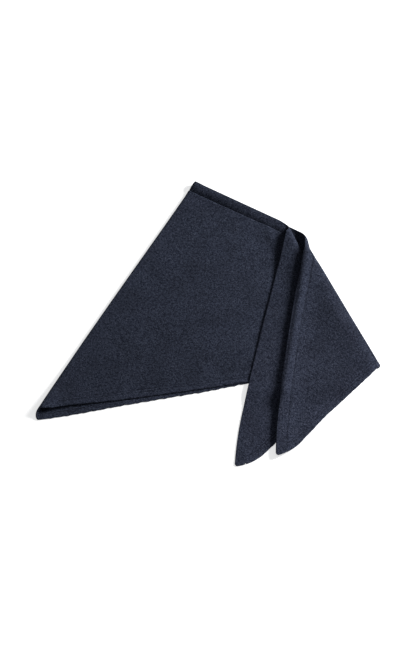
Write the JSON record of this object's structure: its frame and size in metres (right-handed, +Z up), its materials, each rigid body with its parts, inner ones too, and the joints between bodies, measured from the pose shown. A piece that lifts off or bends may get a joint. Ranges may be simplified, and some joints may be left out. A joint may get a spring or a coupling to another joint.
{
  "type": "folded triangular knitted scarf",
  "caption": "Triangular knitted wool scarf laid flat: folded in half, with both tails turned over to the front and a hem band along its long edge",
  "frame": {"origin": "middle of the scarf's outline, on the surface that it lies on", "axes": "+Z up from the surface; +X from the centre fold towards the creased tails; +Y towards the long edge, away from the tails' tips"},
  "size_m": [0.5828, 0.5557, 0.0252],
  "materials": {
    "knit": "heathered navy wool knit, lightly felted",
    "hem_knit": "heathered navy wool knit band, lightly felted"
  },
  "bodies": {
    "root": {"back_half": "knit", "front_half": "knit", "front_tail": "knit", "back_tail": "knit", "back_hem": "hem_knit", "front_hem": "hem_knit", "front_tail_hem": "hem_knit", "back_tail_hem": "hem_knit"}
  },
  "joints": []
}
